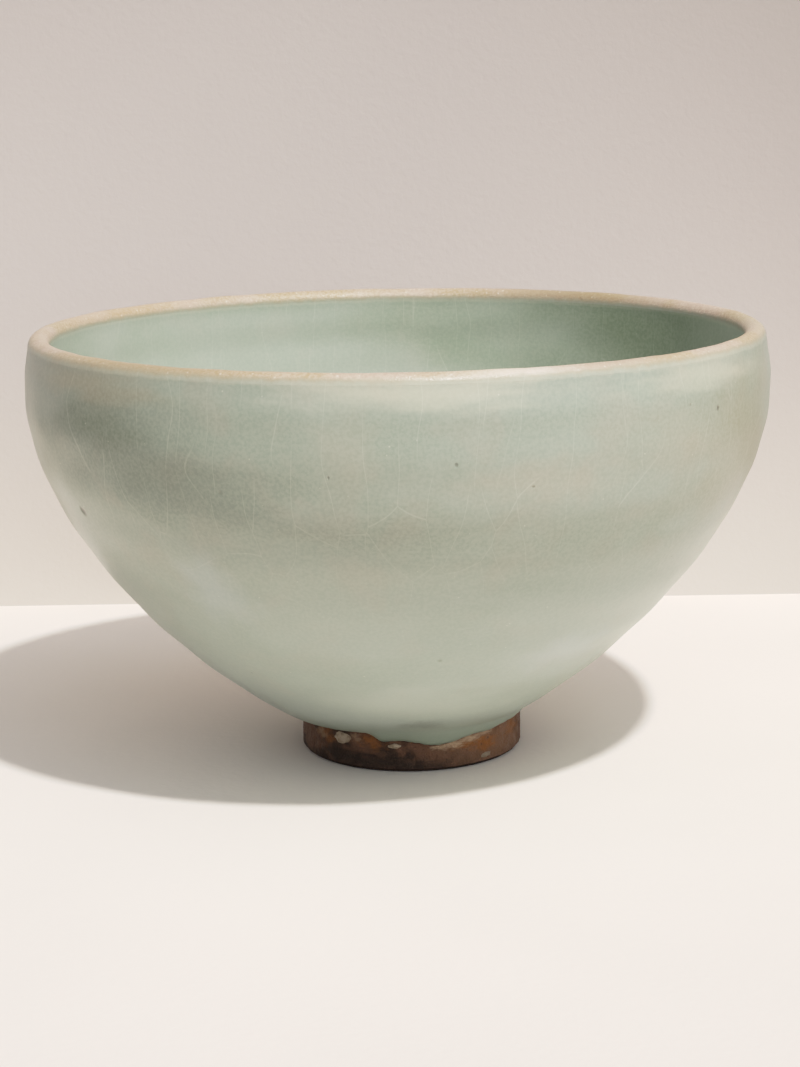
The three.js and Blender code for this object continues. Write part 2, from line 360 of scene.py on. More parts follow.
def make_clouds():
    inputs = {"Size": 20.0, "Upright": 1.0, "Warp": 0.0, "Low": 0.4, "High": 0.6}
    tree, given, out = open_group("clouds", inputs, ["Mask"])
    size = given["Size"]
    tall = math_node(tree, "MULTIPLY", size, given["Upright"])
    cell = add(tree, "CombineXYZ", {"X": size, "Y": size, "Z": tall}).outputs[0]
    place = vector_node(tree, "DIVIDE", given["Place"], cell)
    sockets = {"Vector": place, "Scale": 1.0, "Detail": 2.0, "Roughness": 0.55, "Distortion": given["Warp"]}
    pattern = add(tree, "TexNoise", sockets).outputs["Fac"]
    tree.links.new(remap(tree, pattern, given["Low"], given["High"]), out["Mask"])
    return tree


clouds = make_clouds()


def cloud_mask(tree, place, size, low, high, **more):
    """Soft noise with lumps of one size, cut between two levels"""
    sockets = {"Place": place, "Size": size, "Low": low, "High": high, **more}
    return use_group(tree, clouds, sockets)["Mask"]


print("group:", clouds.name, "with inputs", [item.name for item in clouds.interface.items_tree][1:])

# %% Fine cracks
# The cells of the crackle are drawn as on a plan of the bowl. On the steep wall they stretch into the
# upright cracks of a glaze that was pulled round by its own shrinking, and in the well they stay even.


def make_crackle():
    inputs = {"Size": 10.0, "Line": 0.25, "Swing": 12.0}
    tree, given, out = open_group("crackle", inputs, ["Lines", "Share"])
    shake = add(tree, "TexNoise", {"Vector": given["Place"], "Scale": 0.035, "Detail": 1.0})
    centred = vector_node(tree, "SUBTRACT", shake.outputs["Color"], (0.5,) * 3)
    swing = add(tree, "VectorMath", {0: centred, "Scale": given["Swing"]}, operation="SCALE").outputs[0]
    moved = vector_node(tree, "ADD", given["Place"], swing)
    scale = math_node(tree, "DIVIDE", 1.0, given["Size"])
    sockets = {"Vector": moved, "Scale": scale}
    edges = add(tree, "TexVoronoi", sockets, feature="DISTANCE_TO_EDGE", voronoi_dimensions="2D")
    gap = math_node(tree, "MULTIPLY", edges.outputs["Distance"], given["Size"])
    lines = remap(tree, gap, 0.0, given["Line"], 1.0, 0.0)
    share = add(tree, "TexNoise", {"Vector": given["Place"], "Scale": 0.04, "Detail": 1.0}).outputs["Fac"]
    tree.links.new(lines, out["Lines"])
    tree.links.new(remap(tree, share, 0.36, 0.6), out["Share"])
    return tree


crackle = make_crackle()
print("group:", crackle.name, "puts out lines and where they show")

# %% Pinholes


def make_pinholes():
    inputs = {"Spacing": 12.0, "Radius": 0.4, "Share": 0.6}
    tree, given, out = open_group("pinholes", inputs, ["Mask"])
    place = vector_node(tree, "DIVIDE", given["Place"], given["Spacing"])
    cells = add(tree, "TexVoronoi", {"Vector": place, "Scale": 1.0}, feature="F1")
    away = math_node(tree, "MULTIPLY", cells.outputs["Distance"], given["Spacing"])
    red = add(tree, "SeparateColor", {0: cells.outputs["Color"]}).outputs
    radius = math_node(tree, "MULTIPLY", given["Radius"], math_node(tree, "ADD", red[1], 0.4))
    hole = remap(tree, math_node(tree, "DIVIDE", away, radius), 0.5, 1.0, 1.0, 0.0)
    chosen = math_node(tree, "LESS_THAN", red[0], given["Share"])
    tree.links.new(math_node(tree, "MULTIPLY", hole, chosen), out["Mask"])
    return tree


pinholes = make_pinholes()


def pinhole_mask(tree, place, spacing, radius, share):
    sockets = {"Place": place, "Spacing": spacing, "Radius": radius, "Share": share}
    return use_group(tree, pinholes, sockets)["Mask"]


print("group:", pinholes.name, "made")

# %% A soft patch at one place


def share_of_reach(tree, given):
    """How far a point is from Centre, as a vector in which the patch's border is 1 long"""
    away = vector_node(tree, "SUBTRACT", given["Place"], given["Centre"])
    sizes = {"X": given["Width"], "Y": given["Width"], "Z": given["Height"]}
    return vector_node(tree, "DIVIDE", away, add(tree, "CombineXYZ", sizes).outputs[0])


def make_patch():
    inputs = {"Centre": (0, 0, 0), "Width": 10.0, "Height": 10.0, "Ragged": 0.3}
    tree, given, out = open_group("patch", inputs, ["Mask"])
    share = share_of_reach(tree, given)
    shake = add(tree, "TexNoise", {"Vector": share, "Scale": 2.2, "Detail": 1.0}).outputs["Fac"]
    wander = math_node(tree, "MULTIPLY", math_node(tree, "SUBTRACT", shake, 0.5), given["Ragged"])
    border = math_node(tree, "ADD", length_of(tree, share), wander)
    tree.links.new(remap(tree, border, 0.1, 1.0, 1.0, 0.0), out["Mask"])
    return tree


patch = make_patch()


def patched(tree, colour, place, centre, size, ragged, strength, tint):
    """Lays a tint over a colour in one soft patch"""
    sockets = {"Place": place, "Centre": centre, "Width": size[0], "Height": size[1], "Ragged": ragged}
    return tinted(tree, colour, use_group(tree, patch, sockets)["Mask"], strength, tint)


print("group:", patch.name, "made")

# %% A small clean hole at one place


def make_dimple():
    inputs = {"Centre": (0, 0, 0), "Width": 1.0, "Height": 1.0}
    tree, given, out = open_group("dimple", inputs, ["Mask"])
    share = share_of_reach(tree, given)
    tree.links.new(remap(tree, length_of(tree, share), 0.15, 1.0, 1.0, 0.0), out["Mask"])
    return tree


dimple = make_dimple()
print("group:", dimple.name, "made")

# %% The glaze breaking thin at the lip


def make_lip_break():
    inputs = {"Lip": 117.0, "Band": 2.5, "Fade": 1.0, "Ragged": 1.0, "Inside": 1.1, "Middle": 96.0}
    tree, given, out = open_group("lip_break", inputs, ["Bare", "Pale"])
    height = add(tree, "SeparateXYZ", {0: given["Place"]}).outputs["Z"]
    radius = length_of(tree, vector_node(tree, "MULTIPLY", given["Place"], (1, 1, 0)))
    inward = math_node(tree, "SUBTRACT", given["Middle"], radius)
    lower = math_node(tree, "MULTIPLY", remap(tree, inward, -1.0, 2.0), given["Inside"])
    below = math_node(tree, "SUBTRACT", math_node(tree, "SUBTRACT", given["Lip"], height), lower)
    shake = add(tree, "TexNoise", {"Vector": given["Place"], "Scale": 0.35, "Detail": 4.0}).outputs["Fac"]
    wander = math_node(tree, "MULTIPLY", math_node(tree, "SUBTRACT", shake, 0.5), given["Ragged"])
    depth = math_node(tree, "ADD", below, wander)
    end = math_node(tree, "ADD", given["Band"], given["Fade"])
    tree.links.new(remap(tree, depth, given["Band"], end, 1.0, 0.0), out["Bare"])
    pale_end = math_node(tree, "ADD", math_node(tree, "MULTIPLY", given["Band"], 3.0), given["Fade"])
    tree.links.new(remap(tree, depth, end, pale_end, 1.0, 0.0), out["Pale"])
    return tree


lip_break = make_lip_break()
print("group:", lip_break.name, "made")

# %% [markdown]
# ## The glaze
#
# One material function serves the outside, the lip and the inside, because they are one coat. It starts
# from a grey-green body colour, clouds it with thicker green and thinner buff areas, lets the brown clay
# through at the lip, and then draws the cracks and pinholes. The gloss is a satin one: broad, with a
# very fine unevenness in the normal, like the skin of an orange.
#
# Some marks have their own places on the photographed bowl, such as a long pinhole low on the left.
# Those are listed by azimuth and height, as one would describe them with the bowl in hand. Painted shade,
# painted highlights and painted reflections are listed the same way, as soft patches placed where the
# lamp and the room put light and shade on the bowl.

# %% Marks with their own places
LIP_TOP = 116.9
BUFF = srgb(196, 178, 160)
# painted shade colour for the right side and its edge
PAINTED_SHADE_BUFF = srgb(148, 145, 126)
# painted shade colour for the left side and for the band where the lit top turns into shade
PAINTED_SHADE_GREEN = srgb(119, 129, 113)
# painted reflection colour of the lit table
TABLE_REFLECTION_BLUE = srgb(182, 192, 196)
# painted light colour
PAINTED_LIGHT_PALE = srgb(212, 216, 206)
# painted highlight colour
PAINTED_HIGHLIGHT_CREAM = srgb(216, 211, 192)
# painted shade colour under the lip
LIP_PAINTED_SHADE = srgb(160, 148, 124)
# the glaze pooled above the foot, and also painted shade inside the bowl
POOL_AND_SHADE_GREEN = srgb(126, 140, 116)
PIT_BROWN = srgb(82, 80, 66)
CRACK_WHITE = srgb(224, 225, 212)
SPECK_WHITE = srgb(232, 230, 214)
MOTTLE = srgb(206, 206, 192)
LOW_BLUE = srgb(177, 191, 185)
THIN_PALE = srgb(206, 199, 180)
# The lip's colours: the skin, its warmer parts, its sugary bloom, its painted glints and its lower edge
MUSHROOM = srgb(185, 166, 151)
WARM_MUSHROOM = srgb(174, 155, 127)
BLOOM = srgb(210, 196, 180)
PAINTED_GLINT = srgb(236, 228, 214)
LIP_EDGE = srgb(156, 135, 105)

# azimuth, height, half width, half height, colour, strength
OUTER_TINTS_AND_PAINTED_SHADING = [
    # painted shade on the left side away from the lamp and along the band where the lit top turns into shade
    (-137, 101, 25, 8, PAINTED_SHADE_GREEN, 0.85),
    (-150, 91, 22, 14, PAINTED_SHADE_GREEN, 0.3),
    (-134, 96, 42, 20, PAINTED_SHADE_GREEN, 0.6),
    (-125, 95, 26, 9, PAINTED_SHADE_GREEN, 0.18),
    (-118, 85, 38, 12, PAINTED_SHADE_GREEN, 0.42),
    (-92, 76, 44, 10, PAINTED_SHADE_GREEN, 0.26),
    (-58, 73, 40, 11, PAINTED_SHADE_GREEN, 0.26),
    # the buff tints are the glaze's own colour
    (-70, 90, 30, 8, BUFF, 0.16),
    (-46, 95, 18, 12, BUFF, 0.12),
    (-97, 100, 12, 12, BUFF, 0.12),
    # painted shade on the right side and its edge
    (-27, 90, 42, 30, PAINTED_SHADE_BUFF, 0.7),
    (-48, 99, 34, 15, PAINTED_SHADE_BUFF, 0.25),
    # painted reflections of the lit table, low on the left and on the right
    (-122, 60, 15, 20, TABLE_REFLECTION_BLUE, 0.32),
    (-52, 39, 18, 9, TABLE_REFLECTION_BLUE, 0.42),
    # a painted highlight in a band below the lip
    (-88, 112, 44, 6, PAINTED_HIGHLIGHT_CREAM, 0.42),
    (-40, 111, 34, 6, PAINTED_HIGHLIGHT_CREAM, 0.32),
    # painted light from the table, low at the front
    (-86, 24, 34, 12, PAINTED_LIGHT_PALE, 0.35),
    # painted shade under the lip on the left
    (-140, 111, 40, 7, LIP_PAINTED_SHADE, 0.45),
    # painted shade low on the left
    (-142, 42, 14, 12, PAINTED_SHADE_GREEN, 0.25),
    (-82, 16, 9, 4, PIT_BROWN, 0.8),
]
# On the inside the same list holds only painted shade and light: painted shade on the deep green side away
# from the lamp, the band of painted shade it runs into below the lip, and one paler side painted as lit
INNER_PAINTED_SHADING = [
    (34, 102, 84, 40, POOL_AND_SHADE_GREEN, 0.95),
    (83, 107, 40, 16, POOL_AND_SHADE_GREEN, 0.3),
    (150, 96, 50, 26, PAINTED_LIGHT_PALE, 0.15),
]
# azimuth, height, half width, half height, how dark the hole looks
OUTER_PITS = [
    (-148.3, 76.5, 2.0, 1.9, 1.0),
    (-115.4, 88, 0.9, 0.9, 0.3),
    (-82.4, 95.6, 0.6, 0.8, 0.6),
    (-45.2, 104.5, 0.6, 0.6, 0.35),
    (-38.3, 102.2, 0.7, 1.0, 0.7),
    (-82.3, 41.5, 0.9, 0.9, 0.5),
    (-71.5, 89.2, 0.6, 0.5, 0.4),
    (-99.5, 92.9, 0.35, 0.7, 0.45),
    (-128.4, 33.6, 0.8, 0.6, 0.5),
]
# azimuth, half width, colour, strength; the pale tone at -74 degrees is a painted highlight at the front of
# the lip
LIP_TONES_AND_HIGHLIGHT = [
    (-128, 44, srgb(160, 144, 120), 0.6),
    (-74, 21, srgb(228, 217, 204), 0.6),
    (-54, 20, srgb(172, 158, 140), 0.45),
    (-4, 30, srgb(184, 174, 147), 0.5),
    (56, 48, srgb(150, 134, 106), 0.7),
    (150, 40, srgb(186, 163, 138), 0.4),
]


def on_outside(azimuth, height):
    """The point of the outer surface at an azimuth in degrees and a height in millimetres"""
    radius = 1 + np.interp(height, outside[:, 1], outside[:, 0])
    angle = math.radians(azimuth)
    return (radius * math.cos(angle), radius * math.sin(angle), height)


print("the long pinhole is at", [round(value, 1) for value in on_outside(*OUTER_PITS[0][:2])])

# %% Mix the glaze
POOLED_TO = 18.0  # up to this height the glaze that ran together above the foot looks deeper
CRACK_SIZE = 9.5
CRACK_LINE = 0.14
FORK_SIZE = 19.0
FORK_LINE = 0.13
CRACKS_FADE = (50.0, 92.0)  # the heights between which the cracks grow clear
CRACK_STRENGTH = (0.05, 0.17)


def millimetre_place(tree):
    """Where a point lies on the bowl, in millimetres"""
    where = add(tree, "TexCoord").outputs["Object"]
    return add(tree, "VectorMath", {0: where, "Scale": 1 / MM}, operation="SCALE").outputs[0]


def new_material(name, **values):
    material = bpy.data.materials.new(name)
    material.use_nodes = True
    tree = material.node_tree
    shader = tree.nodes["Principled BSDF"]
    for label, value in values.items():
        shader.inputs[label.replace("_", " ")].default_value = value
    return material, tree, shader


def finish_glaze(tree, shader, place, colour, bare, pits):
    """Gloss and fine unevenness, which are the same wherever this glaze is"""
    ripple = cloud_mask(tree, place, 1.6, 0.2, 0.8)
    sugar = cloud_mask(tree, place, 0.45, 0.3, 0.7)
    sheen = cloud_mask(tree, place, 26.0, 0.35, 0.65)
    rough = remap(tree, bare, 0.0, 1.0, 0.3, 0.31)
    rough = math_node(tree, "ADD", rough, math_node(tree, "MULTIPLY", sheen, 0.08))
    coarse = math_node(tree, "MULTIPLY", sugar, remap(tree, bare, 0.0, 1.0, 0.05, 1.0))
    holes = math_node(tree, "SUBTRACT", 1.0, pits)
    skin = add(tree, "Bump", {"Height": ripple, "Strength": 0.22, "Distance": 0.06 * MM})
    grain = add(tree, "Bump", {"Height": coarse, "Strength": 0.7, "Distance": 0.08 * MM})
    sunk = add(tree, "Bump", {"Height": holes, "Strength": 0.9, "Distance": 0.4 * MM})
    tree.links.new(skin.outputs[0], grain.inputs["Normal"])
    tree.links.new(grain.outputs[0], sunk.inputs["Normal"])
    tree.links.new(colour, shader.inputs["Base Color"])
    tree.links.new(rough, shader.inputs["Roughness"])
    tree.links.new(sunk.outputs[0], shader.inputs["Normal"])


def glaze_material(name, body, thick, thin, placed_tints_and_shading=(), placed_pits=()):
    material, tree, shader = new_material(name, Specular_IOR_Level=0.4, IOR=1.5)
    place = millimetre_place(tree)
    wide = cloud_mask(tree, place, 42.0, 0.42, 0.66, Upright=0.6, Warp=0.8)
    colour = tinted(tree, body, wide, 0.4, thick)
    close = cloud_mask(tree, place, 14.0, 0.46, 0.74, Warp=0.5)
    colour = tinted(tree, colour, close, 0.4, thin)
    # glaze tints, then the painted shade, painted highlights and painted reflections, each in a soft patch
    for azimuth, height, width, tall, tint, strength in placed_tints_and_shading:
        at = on_outside(azimuth, height)
        colour = patched(tree, colour, place, at, (width, tall), 0.9, strength, tint)
    cracks = use_group(tree, crackle, {"Place": place, "Size": CRACK_SIZE, "Line": CRACK_LINE, "Swing": 7.0})
    forks = use_group(tree, crackle, {"Place": place, "Size": FORK_SIZE, "Line": FORK_LINE, "Swing": 9.0})
    branches = math_node(tree, "MULTIPLY", forks["Lines"], math_node(tree, "SUBTRACT", 1.0, forks["Share"]))
    lines = math_node(tree, "MULTIPLY", cracks["Lines"], cracks["Share"])
    height = add(tree, "SeparateXYZ", {0: place}).outputs["Z"]
    clear = remap(tree, height, *CRACKS_FADE, *CRACK_STRENGTH)
    colour = tinted(tree, colour, math_node(tree, "MAXIMUM", lines, branches), clear, CRACK_WHITE)
    colour = tinted(tree, colour, cloud_mask(tree, place, 0.9, 0.3, 0.7), 0.14, MOTTLE)
    # lighter and bluer towards the bottom, from 80 mm down to 36 mm
    bluer_below = remap(tree, height, 36.0, 80.0, 0.36, 0.0)
    colour = mix_colour(tree, bluer_below, colour, LOW_BLUE)
    pooled = remap(tree, height, 9.0, POOLED_TO, 0.6, 0.0)
    colour = mix_colour(tree, pooled, colour, POOL_AND_SHADE_GREEN)
    colour = tinted(tree, colour, pinhole_mask(tree, place, 3.2, 0.22, 0.35), 0.3, SPECK_WHITE)
    pits = math_node(tree, "MULTIPLY", pinhole_mask(tree, place, 17.0, 0.34, 0.5), 0.5)
    for azimuth, height, width, tall, dark in placed_pits:
        hole = {"Place": place, "Centre": on_outside(azimuth, height), "Width": width, "Height": tall}
        seen = math_node(tree, "MULTIPLY", use_group(tree, dimple, hole)["Mask"], dark)
        pits = math_node(tree, "MAXIMUM", pits, seen)
    colour = tinted(tree, colour, pits, 0.7, PIT_BROWN)
    thinning = {"Place": place, "Lip": LIP_TOP, "Band": 0.3, "Fade": 2.2, "Ragged": 1.2}
    lip = use_group(tree, lip_break, thinning)
    colour = tinted(tree, colour, lip["Pale"], 0.2, THIN_PALE)
    mushroom = mix_colour(tree, cloud_mask(tree, place, 24.0, 0.4, 0.6), MUSHROOM, WARM_MUSHROOM)
    mushroom = tinted(tree, mushroom, cloud_mask(tree, place, 0.8, 0.35, 0.65), 0.4, BLOOM)
    # the lip's tones, one of them a painted highlight where the lamp catches the front of the lip
    for azimuth, width, tint, strength in LIP_TONES_AND_HIGHLIGHT:
        at = on_outside(azimuth, LIP_TOP)
        mushroom = patched(tree, mushroom, place, at, (width, 30.0), 0.6, strength, tint)
    # painted glints: pale specks that stand in for the lamp sparkling on the rough lip
    mushroom = tinted(tree, mushroom, pinhole_mask(tree, place, 1.3, 0.3, 0.5), 0.4, PAINTED_GLINT)
    edge = remap(tree, lip["Bare"], 0.35, 0.95, 0.7, 0.0)
    mushroom = mix_colour(tree, edge, mushroom, LIP_EDGE)
    colour = mix_colour(tree, lip["Bare"], colour, mushroom)
    finish_glaze(tree, shader, place, colour, lip["Bare"], pits)
    return material


outer_finish = glaze_material(
    "outer_glaze_finish",
    body=srgb(155, 164, 153),
    thick=srgb(139, 151, 138),
    thin=srgb(162, 161, 149),
    placed_tints_and_shading=OUTER_TINTS_AND_PAINTED_SHADING,
    placed_pits=OUTER_PITS,
)
inner_finish = glaze_material(
    "inner_glaze_finish",
    body=srgb(169, 177, 165),
    thick=srgb(152, 165, 149),
    thin=srgb(177, 180, 168),
    placed_tints_and_shading=INNER_PAINTED_SHADING,
)
print("glaze materials:", outer_finish.name, inner_finish.name)

# %% [markdown]
# ## The outer glaze and its rolled edge
#
# Molten glaze creeps down the wall and gathers above the foot. Where it is thick enough it laps over the
# corner on to the foot's side and freezes there as a roll, in separate tongues. A bevel or a noise
# texture would give an even or a random edge. Here a list says how far the glaze ran down at each of a
# few azimuths, and the rolled section is a Bézier curve from the edge up into the wall's glaze.

# %% Sizes of the glaze
BOND = 0.1
GLAZE_THICKNESS = 0.9
LIP_GLAZE_THICKNESS = 0.3
LIP_FADE = 10
ROLL_SWELL = 0.8
ROLL_REACH = 9
ROLL_FULLNESS = 2.2
POOL_DEPTH = 0.9
POOL_RADIUS = 26
EDGE_WANDER = 0.16  # fine unevenness of the edge, in millimetres
# azimuth in degrees, and how far the glaze ran down below the foot's corner, in millimetres
GLAZE_LAPS = [
    (-128, 0.4),
    (-108, 0.4),
    (-101, 2.9),
    (-93, 2.8),
    (-74, 4.6),
    (-50, 3.4),
    (-28, 2.7),
    (4, 1.4),
    (36, 2.7),
    (58, 1.2),
    (80, 3.6),
    (106, 0.8),
    (132, 2.2),
    (178, 0.6),
    (232, 0.4),
]

# %% Where the glaze ends on the foot


def edge_lap():
    """How far the outer glaze reaches below the corner of the foot, round the bowl"""
    first = GLAZE_LAPS[0][0]
    around = (np.degrees(azimuths) - first) % 360 + first
    lap = np.zeros(COLUMNS)
    for (start, lap_at_start), (end, lap_at_end) in zip(GLAZE_LAPS, GLAZE_LAPS[1:]):
        share = np.clip((around - start) / (end - start), 0, 1)
        between = (around >= start) & (around < end)
        lap[between] = (lap_at_start + (lap_at_end - lap_at_start) * share**2 * (3 - 2 * share))[between]
    places = [Vector((math.cos(a) * FOOT_RADIUS, math.sin(a) * FOOT_RADIUS, 0)) for a in azimuths]
    wander = np.array([soft_noise(p, 3.4, 3.1) + 0.6 * soft_noise(p, 1.3, 7.7) for p in places])
    return lap + EDGE_WANDER * wander * np.minimum(lap, 2)


foot_side = foot_circle(FOOT_RADIUS + BOND)
corner_height = underside_height(foot_circle(FOOT_RADIUS))
glaze_edge_height = corner_height - edge_lap()
print("the glaze ends", glaze_edge_height.min().round(1), "to", glaze_edge_height.max().round(1), "mm up")

# %% Build the outer glaze


def thickness_below_lip(distance):
    share = np.clip(distance / LIP_FADE, 0, 1)
    fade = share * share * (3 - 2 * share)
    return LIP_GLAZE_THICKNESS + (GLAZE_THICKNESS - LIP_GLAZE_THICKNESS) * fade


def roll_rows(roll_top, up_the_wall, count):
    """The rolled section of the edge, from the foot's side to the glaze on the wall"""
    edge = np.column_stack([foot_side, glaze_edge_height])
    reach = np.linalg.norm(roll_top - edge, axis=1)[:, None] / 2
    bulge = edge + [ROLL_FULLNESS, 0]
    below = roll_top - up_the_wall * reach
    for t in np.linspace(0, 1, count + 1)[:-1]:
        low = (1 - t) ** 3 * edge + 3 * (1 - t) ** 2 * t * bulge
        yield low + 3 * (1 - t) * t**2 * below + t**3 * roll_top


def build_outer_glaze():
    travelled = distances_along(outside)
    swell = ROLL_SWELL * np.exp(-(((travelled + UNDERSIDE_RUN) / ROLL_REACH) ** 2))
    surface = offset(outside, BOND + thickness_below_lip(wall_length - travelled) + swell)
    up_the_wall = (surface[1] - surface[0]) / np.linalg.norm(surface[1] - surface[0])
    back = offset(outside, BOND)[::-12]
    corner = ring(foot_side, corner_height - BOND)
    rows = [*roll_rows(surface[0], up_the_wall, 14), *rings(surface), *rings(back), corner]
    return turned("glaze_outside", rows)


RIDGE_DEPTH = 0.1
RIDGE_SPACING = 2.1  # a throwing ring repeats after this height times two pi
LUMP_DEPTH = 0.16
LUMP_SIZE = 17


def thrown_relief(point):
    """Faint throwing rings and slow changes of thickness, fading out near the lip and the joints"""
    calm = min(1, max(0, (LIP_HEIGHT - 1 - point.z) / 8)) * min(1, max(0, (point.z - 12) / 5))
    ridges = RIDGE_DEPTH * math.sin(point.z / RIDGE_SPACING + 2 * soft_noise(point, 60, 1.7))
    lumps = LUMP_DEPTH * soft_noise(point, LUMP_SIZE, 4.2, upright=0.6)
    return calm * (ridges + lumps)


glaze_outside = build_outer_glaze()
relief(glaze_outside, thrown_relief)
dress(glaze_outside, outer_finish, "outer_glaze", slot="outer_glaze")

# %% [markdown]
# ## The lip
#
# The lip is a half circle of clay under a skin of glaze only a third of a millimetre thick. It joins the
# thicker coats on both sides without a step, so its ends meet theirs at the same points.

# %% Build the lip's glaze
LIP_ROWS = 20


def lip_arc(radius, rows=LIP_ROWS):
    centre = (outside[-1] + inside_wall[0]) / 2
    angles = np.linspace(lip_lean, lip_lean + math.pi, rows)
    return centre + radius * np.column_stack([np.cos(angles), np.sin(angles)])


def build_lip_glaze():
    bonded = WALL_AT_LIP / 2 + BOND
    rows = [*rings(lip_arc(bonded + LIP_GLAZE_THICKNESS)), *rings(lip_arc(bonded, 5)[::-1])]
    return turned("glaze_over_lip", rows)


def lip_relief(point):
    height = min(1, max(0, (point.z - LIP_HEIGHT - 0.4) / 2))
    return height * (0.16 * soft_noise(point, 11, 2.3) + 0.07 * soft_noise(point, 3.5, 5.9))


glaze_over_lip = build_lip_glaze()
relief(glaze_over_lip, lip_relief)
dress(glaze_over_lip, outer_finish, "lip_glaze", slot="lip_glaze")

# %% [markdown]
# ## The inner glaze
#
# Inside, the glaze ran down and pooled in the well, so the coat is twice as thick in the middle.

# %% Build the inner glaze


def build_inner_glaze():
    pool = POOL_DEPTH * np.exp(-((inside[:, 0] / POOL_RADIUS) ** 2))
    surface = offset(inside, BOND + thickness_below_lip(distances_along(inside)) + pool)
    back = offset(inside, BOND)
    surface_pole = (0, 0, surface[-1][1])
    back_pole = (0, 0, back[-1][1])
    rows = [*rings(back[:-1][::-12]), ring(*back[0]), *rings(surface[:-1])]
    return turned("glaze_inside", rows, back_pole, surface_pole)


glaze_inside = build_inner_glaze()
relief(glaze_inside, thrown_relief)
dress(glaze_inside, inner_finish, "inner_glaze", slot="inner_glaze")

# %% [markdown]
# ## The fired clay and the brown wash
#
# What shows of the clay itself is the foot: gritty, brown-grey, with turning lines in the recess. Its
# outer side carries a thin iron wash that is darker, almost black, towards the bottom and rust-orange in
# patches.
# Both finishes are matte and coarse, so they share one grit group.

# %% Grit


def make_grit():
    tree, given, out = open_group("grit", {"Size": 0.8}, ["Height", "Dark"])
    place = given["Place"]
    fine = cloud_mask(tree, place, given["Size"], 0.3, 0.7)
    coarse = cloud_mask(tree, place, math_node(tree, "MULTIPLY", given["Size"], 3.2), 0.35, 0.65)
    tree.links.new(math_node(tree, "ADD", fine, coarse), out["Height"])
    tree.links.new(pinhole_mask(tree, place, 1.6, 0.3, 0.4), out["Dark"])
    return tree


grit = make_grit()
print("group:", grit.name, "made")

# %% Mix the clay and the wash


def finish_matte(tree, shader, colour, grit_height, strength, depth, rough):
    """Grit in the normal, and the colour and roughness of a dry surface"""
    bump = add(tree, "Bump", {"Height": grit_height, "Strength": strength, "Distance": depth * MM})
    tree.links.new(colour, shader.inputs["Base Color"])
    tree.links.new(rough, shader.inputs["Roughness"])
    tree.links.new(bump.outputs[0], shader.inputs["Normal"])


def clay_material():
    material, tree, shader = new_material("stoneware_finish", Specular_IOR_Level=0.25)
    place = millimetre_place(tree)
    rough = use_group(tree, grit, {"Place": place, "Size": 0.7})
    wide = cloud_mask(tree, place, 12.0, 0.4, 0.62, Warp=0.6)
    colour = mix_colour(tree, wide, srgb(120, 98, 78), srgb(88, 68, 52))
    colour = tinted(tree, colour, cloud_mask(tree, place, 5.0, 0.55, 0.72), 0.6, srgb(150, 96, 52))
    colour = tinted(tree, colour, rough["Dark"], 0.7, srgb(46, 38, 32))
    away = length_of(tree, vector_node(tree, "SUBTRACT", place, (FOOT_OFFSET, 0, 0)))
    creep = remap(tree, away, FOOT_RADIUS - 2.4, FOOT_RADIUS - 0.9)
    colour = mix_colour(tree, creep, colour, srgb(58, 43, 34))
    finish_matte(tree, shader, colour, rough["Height"], 0.7, 0.25, remap(tree, wide, 0, 1, 0.82, 0.92))
    return material


# azimuth and height on the foot, half width, half height, strength
RUST_PATCHES = [
    (-50, 5.6, 5, 3, 0.95),
    (-62, 6.6, 6, 1.6, 0.8),
    (-111, 8.2, 5, 3, 0.75),
    (-140, 8, 5, 3.5, 0.55),
    (-25, 7.5, 6, 3, 0.6),
    (20, 6, 7, 4, 0.6),
    (85, 5, 9, 4, 0.7),
    (150, 6, 8, 4, 0.6),
]
DARK_PATCHES = [
    (-128, 2.2, 14, 3.8, 0.85),
    (-112, 2.2, 12, 3.4, 0.8),
    (-97, 2.0, 11, 3.2, 0.8),
    (-80, 1.4, 8, 2.4, 0.6),
    (150, 2.5, 12, 3.5, 0.7),
    (60, 2, 14, 3, 0.6),
]
TAN_LINE = [
    (-76, 6.7, 3.6, 0.9, 0.8),
    (-68, 7.0, 4.2, 1.4, 1.0),
    (-59, 8.0, 4.0, 1.3, 1.0),
    (-50, 8.9, 3.4, 1.0, 0.8),
    (-144, 8.0, 3.2, 2.2, 0.4),
    (-120, 8.8, 2.6, 1.6, 0.35),
    (40, 7, 3, 1.5, 0.6),
    (110, 6, 4, 1.4, 0.5),
]


def on_foot(azimuth, height):
    angle = math.radians(azimuth)
    return (FOOT_OFFSET + FOOT_RADIUS * math.cos(angle), FOOT_RADIUS * math.sin(angle), height)


def wash_material():
    material, tree, shader = new_material("foot_wash_finish", Specular_IOR_Level=0.3)
    place = millimetre_place(tree)
    rough = use_group(tree, grit, {"Place": place, "Size": 0.6})
    wide = cloud_mask(tree, place, 7.0, 0.38, 0.64, Warp=0.8)
    colour = mix_colour(tree, wide, srgb(106, 74, 55), srgb(64, 47, 37))
    colour = patched(tree, colour, place, on_foot(-40, 5), (26.0, 13.0), 0.6, 1.0, srgb(128, 94, 70))
    black, rust, tan = srgb(46, 35, 28), srgb(144, 90, 42), srgb(182, 155, 126)
    for patches, tint in ((DARK_PATCHES, black), (RUST_PATCHES, rust), (TAN_LINE, tan)):
        for azimuth, height, width, tall, strength in patches:
            at = on_foot(azimuth, height)
            colour = patched(tree, colour, place, at, (width, tall), 1.5, strength, tint)
    colour = tinted(tree, colour, rough["Dark"], 0.5, srgb(24, 18, 15))
    finish_matte(tree, shader, colour, rough["Height"], 0.8, 0.3, remap(tree, wide, 0, 1, 0.6, 0.8))
    return material


clay_finish = clay_material()
wash_finish = wash_material()
print("clay materials:", clay_finish.name, wash_finish.name)

# %% Build the clay body


